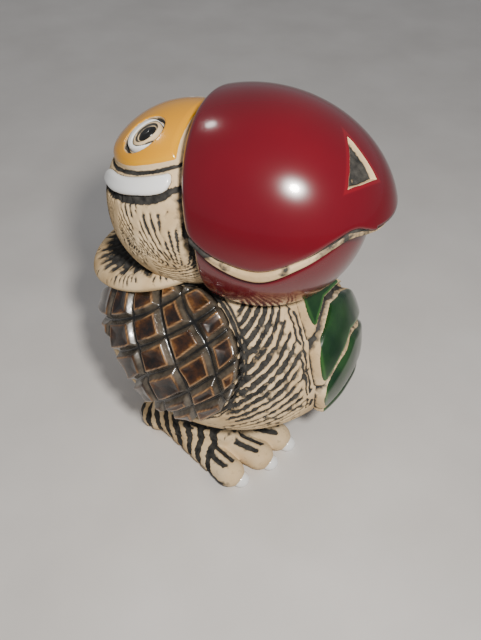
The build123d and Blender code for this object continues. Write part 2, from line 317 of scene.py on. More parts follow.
def speckle(tree, scale, detail, place, rough=0.5):
    where = new_node(tree, "ShaderNodeTexCoord", (place[0] - 200, place[1]))
    noise = new_node(tree, "ShaderNodeTexNoise", place)
    noise.inputs["Scale"].default_value = scale
    noise.inputs["Detail"].default_value = detail
    noise.inputs["Roughness"].default_value = rough
    tree.links.new(where.outputs["Object"], noise.inputs["Vector"])
    return noise.outputs["Fac"]


def steps(tree, source, stops, place):
    """A colour ramp from a 0 to 1 value."""
    ramp_node = new_node(tree, "ShaderNodeValToRGB", place)
    band = ramp_node.color_ramp
    while len(band.elements) < len(stops):
        band.elements.new(0.5)
    for element, (position, colour) in zip(band.elements, stops):
        element.position = position
        element.color = (*colour, 1.0)
    tree.links.new(source, ramp_node.inputs["Fac"])
    return ramp_node.outputs["Color"]


def blended(tree, amount, first, second, place):
    mix = new_node(tree, "ShaderNodeMix", place, data_type="RGBA")
    tree.links.new(amount, mix.inputs["Factor"])
    tree.links.new(first, mix.inputs["A"])
    tree.links.new(second, mix.inputs["B"])
    return mix.outputs["Result"]


def carried(tree, name, place):
    return new_node(tree, "ShaderNodeAttribute", place, attribute_name=name).outputs["Fac"]


def arithmetic(tree, operation, first, second, place, third=None):
    node = new_node(tree, "ShaderNodeMath", place, operation=operation)
    for socket, value in zip(node.inputs, (first, second, third)):
        if isinstance(value, (int, float)):
            socket.default_value = value
        elif value is not None:
            tree.links.new(value, socket)
    return node.outputs["Value"]


CLAY_LIGHT = (0.74, 0.55, 0.32)
CLAY_PALE = (0.80, 0.64, 0.42)
CLAY_DARK = (0.55, 0.38, 0.20)
# dark stain colours, used for the wash and for painted shade
WASH_AND_SHADE = (0.020, 0.020, 0.020)
THIN_WASH_AND_SHADE = (0.075, 0.071, 0.064)


def bare_clay(tree):
    """Rough clay with wash and painted shade, as a shader."""
    grain = speckle(tree, 900, 6, (-1200, 600))
    cloud = speckle(tree, 140, 4, (-1200, 300))
    clay = steps(tree, cloud, ((0.30, CLAY_DARK), (0.52, CLAY_LIGHT), (0.8, CLAY_PALE)), (-1000, 300))
    stain = steps(tree, grain, ((0.35, WASH_AND_SHADE), (0.75, THIN_WASH_AND_SHADE)), (-1000, 600))
    # the wash and the painted shade break up into specks where they are thin
    wash = carried(tree, "wash", (-1200, 0))
    broken = arithmetic(tree, "MULTIPLY_ADD", grain, 0.9, (-1000, 0), -0.45)
    amount = arithmetic(tree, "ADD", wash, broken, (-800, 0))
    covered = steps(tree, amount, ((0.30, (0, 0, 0)), (0.62, (1, 1, 1))), (-600, 0))
    present = arithmetic(tree, "GREATER_THAN", wash, 0.02, (-600, -150))
    shown = arithmetic(tree, "MULTIPLY", covered, present, (-400, 0))
    colour = blended(tree, shown, clay, stain, (-200, 300))
    bump = new_node(tree, "ShaderNodeBump", (-200, -200))
    bump.inputs["Strength"].default_value = 0.55
    bump.inputs["Distance"].default_value = 0.00012
    tree.links.new(grain, bump.inputs["Height"])
    shader = new_node(tree, "ShaderNodeBsdfPrincipled", (0, 300))
    shader.inputs["Roughness"].default_value = 0.88
    shader.inputs["Specular IOR Level"].default_value = 0.12
    tree.links.new(colour, shader.inputs["Base Color"])
    tree.links.new(bump.outputs["Normal"], shader.inputs["Normal"])
    return shader.outputs["BSDF"]


def glass_glaze(tree, colour, gloss=0.07, ripple=0.12):
    """Glossy glaze over a colour, as a shader."""
    swell = speckle(tree, 160, 2, (200, -500))
    bump = new_node(tree, "ShaderNodeBump", (400, -500))
    bump.inputs["Strength"].default_value = ripple
    bump.inputs["Distance"].default_value = 0.0004
    tree.links.new(swell, bump.inputs["Height"])
    shader = new_node(tree, "ShaderNodeBsdfPrincipled", (600, -300))
    shader.inputs["Roughness"].default_value = 3 * gloss
    shader.inputs["IOR"].default_value = 1.52
    shader.inputs["Coat Weight"].default_value = 0.5
    shader.inputs["Coat Roughness"].default_value = gloss
    tree.links.new(colour, shader.inputs["Base Color"])
    tree.links.new(bump.outputs["Normal"], shader.inputs["Normal"])
    return shader.outputs["BSDF"]


def new_finish(name):
    material = bpy.data.materials.new(name)
    material.use_nodes = True
    material.node_tree.nodes.clear()
    return material, material.node_tree


def output(tree, shader):
    end = new_node(tree, "ShaderNodeOutputMaterial", (1200, 0))
    tree.links.new(shader, end.inputs["Surface"])


def glazed_finish(name, thin, thick, gloss=0.07, ripple=0.12, mottle=220):
    """Clay with wash, under glaze where the piece is marked as glazed."""
    material, tree = new_finish(name)
    clay = bare_clay(tree)
    mottled = speckle(tree, mottle, 5, (-200, -500))
    thickness = arithmetic(tree, "MULTIPLY_ADD", mottled, 0.7, (0, -500), 0.15)
    edge = carried(tree, "thin", (-200, -700))
    depth = arithmetic(tree, "SUBTRACT", thickness, edge, (100, -600))
    colour = steps(tree, depth, ((0.0, thin), (0.35, tuple((a + 2 * b) / 3 for a, b in zip(thin, thick))),
                                 (0.6, thick)), (200, -300))
    glaze = glass_glaze(tree, colour, gloss, ripple)
    amount = carried(tree, "glaze", (400, 300))
    wobble = speckle(tree, 1500, 3, (400, 500))
    wavy = arithmetic(tree, "MULTIPLY_ADD", wobble, 0.5, (600, 500), -0.25)
    cover = arithmetic(tree, "ADD", amount, wavy, (700, 300))
    sharp = steps(tree, cover, ((0.44, (0, 0, 0)), (0.56, (1, 1, 1))), (800, 300))
    mix = new_node(tree, "ShaderNodeMixShader", (1000, 0))
    tree.links.new(sharp, mix.inputs["Fac"])
    tree.links.new(clay, mix.inputs[1])
    tree.links.new(glaze, mix.inputs[2])
    output(tree, mix.outputs["Shader"])
    return material


clay_finish, clay_tree = new_finish("bare_clay")
output(clay_tree, bare_clay(clay_tree))
crimson_finish = glazed_finish("crimson_glaze", (0.18, 0.002, 0.009), (0.110, 0.0, 0.006),
                               ripple=0.05, mottle=60)
yellow_finish = glazed_finish("yellow_glaze", (0.78, 0.36, 0.004), (0.74, 0.315, 0.0), ripple=0.05)
white_finish = glazed_finish("white_glaze", (0.86, 0.84, 0.78), (0.95, 0.96, 0.96), ripple=0.04)
black_finish = glazed_finish("black_glaze", (0.012, 0.011, 0.010), (0.003, 0.003, 0.003), ripple=0.04)
green_finish = glazed_finish("green_glaze", (0.04, 0.13, 0.025), (0.0015, 0.024, 0.006), ripple=0.10)
print("finishes:", len(bpy.data.materials))

# %% [markdown]
# The amber glaze of the wings is the showpiece. It pools almost black in the middle of each
# diamond, breaks to orange along the cut edges, and lies grey brown and wet in the grooves.

# %% Amber glaze
def amber_glaze():
    material, tree = new_finish("amber_glaze")
    mottled = speckle(tree, 420, 6, (-1200, 0), 0.65)
    amber = steps(tree, mottled, ((0.30, (0.004, 0.002, 0.0015)), (0.46, (0.015, 0.005, 0.0018)),
                                  (0.59, (0.065, 0.022, 0.003)), (0.76, (0.22, 0.085, 0.014))), (-1000, 0))
    pool = steps(tree, mottled, ((0.42, (0.004, 0.002, 0.0015)), (0.72, (0.05, 0.016, 0.003))), (-1000, -300))
    grey = steps(tree, mottled, ((0.35, (0.040, 0.033, 0.025)), (0.70, (0.14, 0.115, 0.085))), (-1000, 300))
    black = steps(tree, mottled, ((0.3, (0.001, 0.001, 0.001)), (0.8, (0.006, 0.005, 0.004))), (-1000, 500))
    orange = steps(tree, mottled, ((0.3, (0.24, 0.11, 0.04)), (0.7, (0.46, 0.27, 0.12))), (-1000, 700))
    colour = blended(tree, carried(tree, "pool", (-900, -450)), amber, pool, (-600, 0))
    colour = blended(tree, carried(tree, "wall", (-900, 250)), colour, grey, (-450, 0))
    colour = blended(tree, carried(tree, "cut", (-900, 450)), colour, black, (-300, 0))
    colour = blended(tree, carried(tree, "ridge", (-900, 650)), colour, orange, (-150, 0))
    output(tree, glass_glaze(tree, colour, 0.09, 0.25))
    return material


amber_finish = amber_glaze()

# %% [markdown]
# The wing pads. On the real bird each is a slab of clay pressed onto the side of the egg and
# cut with a knife: four long grooves that sweep down and forward, crossed by five that rise
# towards the head. The cuts are V shaped, so they leave raised pillows with sharp edges.
# A patch of the ball keeps the curve of the body, and its skirt dives under the body's skin,
# so the pad seems to grow out of it.

# %% Wing layout
PAD = 1.7  # millimetres that the pads stand off the body
SKIRT = -0.6  # the hidden edge lies this far under the body's skin
WING_OUTLINE = [(157, 9), (144, 7), (132, 8), (117, 0), (107, -12), (93, -15), (80, -8), (71, 5),
                (67, 19), (66, 31), (68, 42), (77, 54), (94, 61), (110, 58), (127, 50), (142, 36), (154, 22)]
LONG_CUTS = [
    [(147, 36), (139, 26), (132, 14), (124, 0), (114, -14)],
    [(135, 42), (122, 30), (115, 23), (108, 15), (103, 5), (92, -14)],
    [(127, 54), (108, 40), (98, 30), (92, 22), (86, 13), (80, -10)],
    [(122, 64), (102, 51), (89, 44), (81, 37), (76, 27), (69, 6)],
]
CROSS_CUTS = [
    [(166, -6), (150, 5), (139, 13), (124, 29), (116, 40), (108, 53), (100, 64)],
    [(141, -10), (123, 7), (108, 26), (96, 41), (82, 55), (74, 62)],
    [(126, -20), (112, -4), (105, 8), (95, 20), (85, 34), (74, 45), (64, 54)],
    [(109, -22), (96, -4), (87, 9), (78, 21), (67, 33), (60, 40)],
    [(98, -18), (88, -5), (83, 2), (74, 12), (64, 24)],
]


def curve_on_body(corners):
    line = flowing(corners)
    return on_body(way(line[:, 0], line[:, 1]), 0.0)


# %% Cut the right wing
FINE = 8
right_wing = clay_ball("carved_right_wing", FINE)
ways = read_points(right_wing)
around, up = round_and_up(ways)
keep_patch(right_wing, (around > 55) & (around < 168) & (up > -30) & (up < 75))
ways = read_points(right_wing)
inset = inset_from(ways, WING_OUTLINE)
keep_patch(right_wing, inset > -0.9)
ways = read_points(right_wing)
inset = inset_from(ways, WING_OUTLINE)
skin = on_body(ways, 0.0)
hand = unevenness(skin, 3.0) - 0.5
to_long = np.min([distance_to(skin, curve_on_body(cut)) for cut in LONG_CUTS], axis=0)
to_cross = np.min([distance_to(skin, curve_on_body(cut)) for cut in CROSS_CUTS], axis=0)
to_cut = np.minimum(to_long, to_cross * 1.12) + 0.25 * hand
from_edge = np.minimum(to_cut, inset + 0.25)
CUT_SHAPE = ([0.0, 0.22, 0.95, 1.15, 1.7, 2.6], [0.0, 0.04, 0.92, 1.0, 0.86, 0.74])
rise = np.interp(to_cut, *CUT_SHAPE)
top = 0.50 + (PAD - 0.50) * rise + 0.1 * hand
height = SKIRT + (top - SKIRT) * np.sqrt(ramp(-0.5, 0.7, inset))
write_points(right_wing, on_body(ways, height * MM))
mark(right_wing,
     ridge=bell(from_edge + 0.15 * hand, 1.08, 0.11) * ramp(0.3, 0.7, inset) * ramp(0.15, 0.55, hand + 0.5),
     wall=1 - ramp(0.75, 1.0, from_edge),
     cut=(1 - ramp(0.10, 0.42, to_cut)) * ramp(0.0, 0.5, inset) + (1 - ramp(-0.3, 0.25, inset)),
     pool=ramp(1.35, 2.1, from_edge))
close_patch(right_wing)
finish_piece(right_wing, amber_finish, "amber_glaze", "right_wing")

# %% [markdown]
# The left wing is the same pad on the other side. A copy is mirrored across the middle of the
# bird. Mirroring turns a mesh inside out, so its faces are flipped back.

# %% Mirror helper and the left wing
def mirrored_copy(piece, name):
    copy = piece.copy()
    copy.data = piece.data.copy()
    copy.name = name
    for note in list(copy.keys()):
        del copy[note]  # the copy stands for its own solid, not for the first one's
    bpy.context.collection.objects.link(copy)
    points = read_points(copy)
    points[:, 1] *= -1
    write_points(copy, points)
    only(copy)
    bpy.ops.object.mode_set(mode="EDIT")
    bpy.ops.mesh.select_all(action="SELECT")
    bpy.ops.mesh.flip_normals()
    bpy.ops.object.mode_set(mode="OBJECT")
    return copy


left_wing = mirrored_copy(right_wing, "carved_left_wing")
finish_piece(left_wing, amber_finish, "amber_glaze", "left_wing")

# %% [markdown]
# The plume on the chest is four tiers of green feathers. A tier ends in a steep knife cut, and
# the next one starts with a broad bevel that was left bare, so a cream band with a speckled
# dark root runs between the greens. Round the whole pad the glaze stops short of the edge.

# %% The plume
PLUME_HALF = [(14, 58), (22.5, 50), (27, 37), (29.5, 25), (29, 12), (27, -4), (22, -17), (12, -23)]
PLUME_OUTLINE = [(0, 61), *PLUME_HALF, (0, -24.5), *[(-turn, lift) for turn, lift in PLUME_HALF[::-1]]]
TIER_CUTS = [
    [(0, 48), (5, 47), (17, 43.5), (26, 38), (34, 32)],
    [(0, 27.5), (8, 25), (19, 20), (28, 13), (34, 7)],
    [(0, 6), (10, 2.5), (22, -5), (30, -12), (35, -17)],
]
# millimetres past a cut, and how much of the pad's height is left there
TIER_SHAPE = ([-0.35, -0.05, 0.12, 0.5, 1.0, 2.0, 2.4], [1, 0.97, 0.12, 0.0, 0.15, 0.9, 1])
plume = clay_ball("feathered_plume", FINE)
ways = read_points(plume)
around, up = round_and_up(ways)
keep_patch(plume, (np.abs(around) < 38) & (up > -30) & (up < 68))
ways = read_points(plume)
inset = inset_from(ways, PLUME_OUTLINE)
keep_patch(plume, inset > -0.9)
ways = read_points(plume)
around, up = round_and_up(ways)
inset = inset_from(ways, PLUME_OUTLINE)
skin = on_body(ways, 0.0)
hand = unevenness(skin, 2.4, 5.0) - 0.5
half_ways = way(np.abs(around), up)
half_skin = on_body(half_ways, 0.0)
rise = np.ones(len(ways))
in_tier = np.full(len(ways), 9.0)
stain = np.zeros(len(ways))
thin = bell(inset, 1.1, 0.3) * 0.35
for corners in TIER_CUTS:
    line = flowing(corners)
    below = np.where(up < np.interp(np.abs(around), line[:, 0], line[:, 1]), 1.0, -1.0)
    gap = below * distance_to(half_skin, curve_on_body(corners)) + 0.3 * hand
    rise = np.minimum(rise, np.interp(gap, *TIER_SHAPE))
    in_tier = np.minimum(in_tier, np.where(gap > 0, gap - 1.5 + 0.4 * hand, -gap - 0.12))
    stain = np.maximum(stain, bell(gap, 0.42, 0.40) * 0.75 + bell(gap, 1.0, 0.5) * 0.3)
    thin = np.maximum(thin, bell(gap, -0.25, 0.16) * 0.8)
glazed = -rounded(-in_tier, -(inset - 0.75 + 0.5 * hand), 1.4)
tallest = PAD * (1 - 0.45 * ramp(38, 54, up))
top = 0.30 + (tallest - 0.30) * rise + 0.12 * hand
height = SKIRT + (top - SKIRT) * np.sqrt(ramp(-0.5, 0.9, inset))
write_points(plume, on_body(ways, height * MM))
rim_stain = 0.75 * (1 - ramp(-0.45, 0.05, inset))
mark(plume, glaze=ramp(-0.12, 0.12, glazed), wash=np.maximum(stain, rim_stain) + DUST, thin=thin)
close_patch(plume)
finish_piece(plume, green_finish, "green_glaze", "plume")

# %% [markdown]
# The body is bare clay. Between wing and plume the potter cut slanting strokes that rise
# towards the breast, and the wash stayed in them. They are ragged, of uneven width, and each
# stops where the knife was lifted. A scratched double line follows the edge of the plume.

# %% The body
STROKE_PITCH = 6.0  # degrees from one stroke to the next
body = clay_ball("breast_and_back", 7)
ways = read_points(body)
around, up = round_and_up(ways)
select_points(body, (np.abs(around) > 20) & (np.abs(around) < 78) & (up > -42) & (up < 66))
bpy.ops.mesh.subdivide(number_cuts=1)
bpy.ops.object.mode_set(mode="OBJECT")
ways = read_points(body)
ways /= np.linalg.norm(ways, axis=1, keepdims=True)
around, up = round_and_up(ways)
side = np.abs(around)
skin = on_body(ways, 0.0)
sway = unevenness(skin, 5.0, 3.0) - 0.5
fray = unevenness(skin, 0.8, 9.0) - 0.5
slant = up + 0.95 * (side - 64) + 2.0 * sway + 1.2 * fray
number = np.floor(slant / STROKE_PITCH)
across = np.abs(slant / STROKE_PITCH - number - 0.5) * 2  # 0 in the middle of a stroke
luck = LATTICE[number.astype(int) % 32, 5, 11]
lifted = side + 4 * fray - 4 * luck  # where the knife is lifted differs from stroke to stroke
ends = ramp(30, 33, lifted) * (1 - ramp(64, 68, lifted))
lower_down = 1 - ramp(-30, -16, up)
stroke = 1 - ramp(0.40, 0.68, across + 0.45 * fray - 0.5 * sway)
stroke *= ends * (1 - 0.6 * lower_down)
wing_inset = inset_from(way(side, up), WING_OUTLINE)
plume_inset = inset_from(way(side, up), PLUME_OUTLINE)
second_line = bell(wing_inset, -1.5, 0.22) * (unevenness(skin, 2.0) > 0.45)
beside_wing = bell(wing_inset, -0.75, 0.34) + 0.7 * second_line
beside_plume = bell(plume_inset + 0.6 * fray, -0.9, 0.22) + bell(plume_inset + 0.8 * fray, -1.7, 0.20)
beside_plume = beside_plume * (unevenness(skin, 2.5, 4.0) > 0.36)
scrape = ramp(0.62, 0.75, unevenness(skin * (1, 1, 3.5), 2.2, 2.0)) * ramp(70, 80, side)
height = -0.42 * stroke - 0.45 * beside_wing - 0.25 * beside_plume - 0.15 * scrape + 0.12 * sway
points = on_body(ways, height * MM)
points[:, 2] = np.maximum(points[:, 2], UNDERSIDE)
# painted shade low on the body, over the feet and the table
painted_shade_near_feet = 1 - ramp(10.5, 14.5, points[:, 2] / MM + 4 * sway + 1.5 * fray)
write_points(body, points)
mark(body, wash=np.maximum.reduce([
    0.66 * stroke * (0.9 + 0.9 * fray), 0.9 * beside_wing, 0.75 * beside_plume, 0.5 * scrape, 0.8 * painted_shade_near_feet,
    0.35 * ramp(0.55, 0.8, unevenness(skin, 1.1, 6.0)) * ends]) + DUST)
only(body)
bpy.ops.object.shade_smooth()
finish_piece(body, clay_finish, "bare_clay", "body")

# %% [markdown]
# The throat is scratched with thin lines that start under the cheek and close in on the neck,
# like combed feathers. Under the white band lies a dark crescent. The clay beside the beak is
# darkened with wash in the seam and with painted shade, and the bottom of the head, where it
# meets the body, carries painted shade.

# %% The head
head = clay_ball("head_ball", 7)
ways = read_points(head)
around, up = round_and_up(ways)
side = np.abs(around)
skin = on_head(ways, 0.0)
sway = unevenness(skin, 4.0, 1.0) - 0.5
fray = unevenness(skin, 0.8, 8.0) - 0.5
tall = face_height(ways)
drop = np.clip((22 - up) / 36, 0, 1.5) ** 1.2
origin_line = (side - 50 * drop) / np.maximum(1 - 0.7 * drop, 0.25)
COMB_PITCH = 5.6  # degrees between combed lines
comb = origin_line / COMB_PITCH + 0.6 * sway + 0.12 * fray
number = np.floor(comb)
luck = LATTICE[number.astype(int) % 32, 3, 17]
thickness = 0.14 + 0.24 * luck + 0.25 * sway
combed = 1 - ramp(thickness, thickness + 0.14, np.abs(comb - number - 0.5) * 2)
combed *= (1 - ramp(18, 24, up + 12 * fray)) * ramp(0.22, 0.34, unevenness(skin * (1, 1, 0.3), 1.6, 2.0))
crown_cut = bell(tall + 0.25 * sway, CROWN_LINE - 0.55, 0.21) * ramp(0.8, 2.2, behind_rim(skin))
crescent_depth = 1.2 * ramp(68, 92, side) * (1 - 0.4 * ramp(125, 150, side))
crescent_edge = BAND_BOTTOM - crescent_depth
crescent = ramp(crescent_edge - 0.3 - 0.6 * fray, crescent_edge, tall) * (tall < BAND_BOTTOM + 0.3)
crescent *= ramp(66, 74, side)
# painted shade beside the beak, over the wash in the seam
shade_and_wash_beside_beak = 1 - ramp(0.2, 3.4 + 1.2 * sway, behind_rim(skin) + 0.7 * fray)
shade_and_wash_beside_beak *= 1 - 0.8 * ramp(8, 12, tall)
nape = ramp(0.58, 0.8, unevenness(skin * (1, 1, 0.4), 1.6, 5.0)) * 0.5 * ramp(128, 140, side)
# painted shade at the bottom of the head, where it meets the body
painted_neck_shade = 1 - ramp(41.5, 44.0, skin[:, 2] / MM + 1.5 * fray)
height = -0.32 * combed - 0.30 * crown_cut - 0.35 * crescent + 0.12 * sway
write_points(head, on_head(ways, height * MM))
mark(head, wash=np.maximum.reduce([
    0.62 * combed, 0.95 * crown_cut, 0.66 * crescent, 0.72 * shade_and_wash_beside_beak, nape * 0.8, 0.8 * painted_neck_shade]) + DUST)
only(head)
bpy.ops.object.shade_smooth()
finish_piece(head, clay_finish, "bare_clay", "head")

# %% [markdown]
# The crown is a thin cap of yellow glaze with soft edges and a narrow bare margin. The eyes
# are carved into it: a white oval inside a dark line, and a black pupil ringed with bare clay,
# set towards the beak.

# %% Crown and eyes
CROWN_HEIGHT = 0.9
EYE_RADIUS = 3.0
EYE_STRETCH = 1.12
PUPIL_RADIUS = 1.35
EYE_WAYS = {"right": np.array((-0.340, -0.378, 0.861)), "left": np.array((-0.27, 0.585, 0.765))}
EYE_TILT = math.radians(50)


def eye_axes(side_name):
    """The way out through an eye, and the long and short ways across it."""
    out = EYE_WAYS[side_name] / np.linalg.norm(EYE_WAYS[side_name])
    ahead = np.array((1.0, 0.0, 0.0))
    ahead -= out * (ahead @ out)
    ahead /= np.linalg.norm(ahead)
    inwards = np.cross(out, ahead) * (1 if side_name == "right" else -1)
    long_way = math.cos(EYE_TILT) * ahead + math.sin(EYE_TILT) * inwards
    short_way = math.cos(EYE_TILT) * inwards - math.sin(EYE_TILT) * ahead
    return out, long_way, short_way


def eye_places(ways, side_name):
    """Millimetres along and across an eye, from its middle."""
    out, long_way, short_way = eye_axes(side_name)
    faces = ways @ out > 0.5
    along = np.where(faces, ways @ long_way, 9.0) * HEAD_RADIUS / MM
    across = np.where(faces, ways @ short_way, 9.0) * HEAD_RADIUS / MM
    return along, across


def oval(along, across, shift=(0.0, 0.0), stretch=EYE_STRETCH):
    return np.sqrt(((along - shift[0]) / stretch) ** 2 + ((across - shift[1]) * 1.1) ** 2)


crown = clay_ball("yellow_crown", FINE)
ways = read_points(crown)
keep_patch(crown, (face_height(ways) > CROWN_LINE - 0.8) & (behind_rim(on_head(ways, 0.0)) > 1.6))
ways = read_points(crown)
skin = on_head(ways, 0.0)
hand = unevenness(skin, 3.0, 2.0) - 0.5
inset = np.minimum(face_height(ways) - CROWN_LINE, behind_rim(skin) - 2.6) + 0.2 * hand
eye_gap = np.minimum(*[oval(*eye_places(ways, name)) - EYE_RADIUS for name in EYE_WAYS])
height = -0.5 + (CROWN_HEIGHT + 0.5) * np.sqrt(ramp(-0.5, 1.1, inset))
height -= 0.95 * (1 - ramp(-0.05, 0.35, eye_gap))
write_points(crown, on_head(ways, height * MM))
mark(crown, glaze=ramp(0.05, 0.25, inset) * ramp(0.20, 0.32, eye_gap), thin=bell(inset, 0.35, 0.25) * 0.5,
     wash=0.95 * bell(eye_gap, 0.02, 0.22) + 0.7 * (1 - ramp(-0.6, -0.25, inset)))
close_patch(crown)
finish_piece(crown, yellow_finish, "yellow_glaze", "crown")

EYE_TOP = 1.0
PUPIL_SHIFT = (0.48, -0.57)
for side_name in EYE_WAYS:
    eye = clay_ball(f"{side_name}_eye_ball", FINE)
    ways = read_points(eye)
    keep_patch(eye, oval(*eye_places(ways, side_name)) < EYE_RADIUS - 0.05)
    ways = read_points(eye)
    along, across = eye_places(ways, side_name)
    inwards = EYE_RADIUS - 0.1 - oval(along, across)
    to_pupil = oval(along, across, PUPIL_SHIFT, 1.25) - PUPIL_RADIUS
    height = -0.5 + (EYE_TOP + 0.5) * np.sqrt(ramp(-0.1, 0.6, inwards))
    ring_cut = bell(to_pupil, 0.62, 0.14)
    height -= 0.22 * ring_cut + 0.35 * (1 - ramp(-0.1, 0.25, to_pupil))
    write_points(eye, on_head(ways, height * MM))
    rings = 0.8 * bell(to_pupil, 0.66, 0.12) + 0.85 * bell(to_pupil, 0.08, 0.14)
    mark(eye, glaze=ramp(0.62, 0.78, to_pupil), wash=rings, thin=0.0)
    close_patch(eye)
    finish_piece(eye, white_finish, "white_glaze", f"{side_name}_eye_white")

    pupil = clay_ball(f"{side_name}_glossy_pupil", FINE)
    ways = read_points(pupil)
    keep_patch(pupil, oval(*eye_places(ways, side_name), PUPIL_SHIFT, 1.25) < PUPIL_RADIUS)
    ways = read_points(pupil)
    inwards = PUPIL_RADIUS - oval(*eye_places(ways, side_name), PUPIL_SHIFT, 1.25)
    height = 0.45 + (EYE_TOP - 0.35) * np.sqrt(ramp(-0.05, 0.9, inwards))
    write_points(pupil, on_head(ways, height * MM))
    mark(pupil, glaze=1.0, wash=0.0, thin=0.0)
    close_patch(pupil)
    finish_piece(pupil, black_finish, "black_glaze", f"{side_name}_pupil")

# %% [markdown]
# The cheek bands are thick ropes of white glaze with round ends, from beside the beak almost
# to the nape.

# %% Cheek bands
BAND_HEIGHT = 0.7
band = clay_ball("right_white_band", FINE)
ways = read_points(band)
tall = face_height(ways)
keep_patch(band, (tall > BAND_BOTTOM - 0.6) & (tall < BAND_TOP + 0.6) & (ways[:, 1] < -0.2))
ways = read_points(band)
tall = face_height(ways)
skin = on_head(ways, 0.0)
middle = (BAND_TOP + BAND_BOTTOM) / 2
half = (BAND_TOP - BAND_BOTTOM) / 2 + 0.15
past_front = np.maximum(0, (skin[:, 0] / MM) + 5.6)
past_back = np.maximum(0, 8.2 + skin[:, 1] / MM)
off = np.sqrt((tall - middle) ** 2 + past_front ** 2 + past_back ** 2) + 0.2 * (unevenness(skin, 2.5) - 0.5)
height = -0.5 + (BAND_HEIGHT + 0.5) * np.sqrt(np.clip(1 - (off / (half + 0.12)) ** 4, 0, 1))
keep = off < half + 0.1
write_points(band, on_head(ways, height * MM))
mark(band, glaze=1 - ramp(half - 0.05, half + 0.05, off),
     wash=0.7 * ramp(half - 0.1, half + 0.1, off), thin=0.0)
keep_patch(band, keep)
close_patch(band)
finish_piece(band, white_finish, "white_glaze", "right_cheek_band")
left_band = mirrored_copy(band, "left_white_band")
finish_piece(left_band, white_finish, "white_glaze", "left_cheek_band")

# %% [markdown]
# The beak is a big thrown egg, cut off at the head and along the smile. A potter softens each
# cut with a damp finger, and the glaze rounds it further. To get that, every point of the ball
# travels outwards until it reaches the egg or one of the cuts, and a rounded blend between
# them stands in for the finger.

# %% Casting a ball into a rounded shape
def cast(ways, middle, shape, reach=40.0):
    """Where each way out of the middle leaves the shape; shape(points in mm) is below 0 inside."""
    low, high = np.zeros(len(ways)), np.full(len(ways), reach)
    for _ in range(26):
        half_way = (low + high) / 2
        inside = shape(middle + half_way[:, None] * ways) < 0
        low = np.where(inside, half_way, low)
        high = np.where(inside, high, half_way)
    return middle + low[:, None] * ways


def egg(points, centre, radii):
    return (np.linalg.norm((points - centre) / radii, axis=1) - 1) * min(radii)


SMILE = np.array([(-12, 64.0), (0.4, 57.6), (5.2, 55.6), (11.6, 54.8), (17.1, 57.1),
                  (21.2, 59.8), (23.0, 60.5), (24.6, 59.6), (26.4, 58.0), (29.0, 56.5)])
LIP_DEPTHS = np.array([1.0, 1.2, 2.4, 3.2, 2.6, 2.1, 2.0, 1.6, 1.0, 0.8])
SMILE_LINE = flowing(SMILE)
LIP_LINE = flowing(SMILE - np.stack((np.zeros(len(SMILE)), LIP_DEPTHS), axis=1))


def smile_at(x):
    return np.interp(x, SMILE_LINE[:, 0], SMILE_LINE[:, 1])


def lip_at(x):
    return np.interp(x, LIP_LINE[:, 0], LIP_LINE[:, 1])


def past_rim(points, ahead=0.0):
    return -(points - RIM_PLACE / MM) @ RIM_FACING + ahead


# %% Upper beak
BEAK_MIDDLE = np.array((5.4, 0.0, 55.0))
BEAK_RADII = np.array((22.0, 17.0, 18.6))


def upper_beak_shape(points):
    shell = egg(points, BEAK_MIDDLE, BEAK_RADII)
    back = rounded(shell, past_rim(points, -0.4), 1.9)
    return rounded(back, (smile_at(points[:, 0]) - points[:, 2]) * 0.85, 0.9)


CUT_CORNERS = np.array(((18.2, -0.5, 70.0), (23.2, -1.7, 65.0), (20.5, -6.6, 65.6)))
CUT_DEPTH = 1.1


def inside_corner_cut(points):
    """Millimetres inwards from the edges of the triangular cut."""
    facing = np.cross(CUT_CORNERS[2] - CUT_CORNERS[0], CUT_CORNERS[1] - CUT_CORNERS[0])
    facing /= np.linalg.norm(facing)
    middle = CUT_CORNERS.mean(axis=0)
    gaps = []
    for start, end in zip(CUT_CORNERS, np.roll(CUT_CORNERS, -1, axis=0)):
        edge = (end - start) / np.linalg.norm(end - start)
        across = np.cross(facing, edge)
        across *= np.sign((middle - start) @ across)
        gaps.append((points - start) @ across)
    return np.where((points - middle) @ facing > -6, np.min(gaps, axis=0), -9.0), facing


upper = clay_ball("crimson_upper_beak", 7)
ways = read_points(upper)
BEAK_HEART = np.array((9.0, 0.0, 65.0))
near_cut = inside_corner_cut(cast(ways, BEAK_HEART, upper_beak_shape))[0] > -1.2
select_points(upper, near_cut)
bpy.ops.mesh.subdivide(number_cuts=3)
bpy.ops.object.mode_set(mode="OBJECT")
ways = read_points(upper)
ways /= np.linalg.norm(ways, axis=1, keepdims=True)
points = cast(ways, BEAK_HEART, upper_beak_shape)
depth, facing = inside_corner_cut(points)
hand = unevenness(points * MM, 1.2, 3.0) - 0.5
points -= (CUT_DEPTH * ramp(-0.1, 0.45, depth + 0.2 * hand))[:, None] * facing
write_points(upper, points * MM)
floor_wash = ramp(0.18, 0.36, depth + 0.4 * hand) * (1 - 0.5 * (hand > 0.22))
mark(upper, glaze=1 - ramp(-0.15, 0.0, depth + 0.2 * hand), wash=floor_wash + DUST,
     thin=0.7 * bell(depth, -0.35, 0.25))
only(upper)
bpy.ops.object.shade_smooth()
finish_piece(upper, crimson_finish, "crimson_glaze", "upper_beak")

# %% [markdown]
# The lower beak sits back a little under the smile. Its glaze was brushed on and stops in
# ragged strokes where the beak meets the breast.

# %% Lower beak
LOWER_BEAK_BACK = 0.8


def lower_beak_shape(points):
    shell = egg(points, (5.4, 0, 56), (17.8, 16.3, 18.4))
    back = rounded(shell, LOWER_BEAK_BACK - points[:, 0], 1.2)
    return rounded(back, (points[:, 2] - lip_at(points[:, 0]) - 0.5) * 0.85, 1.2)


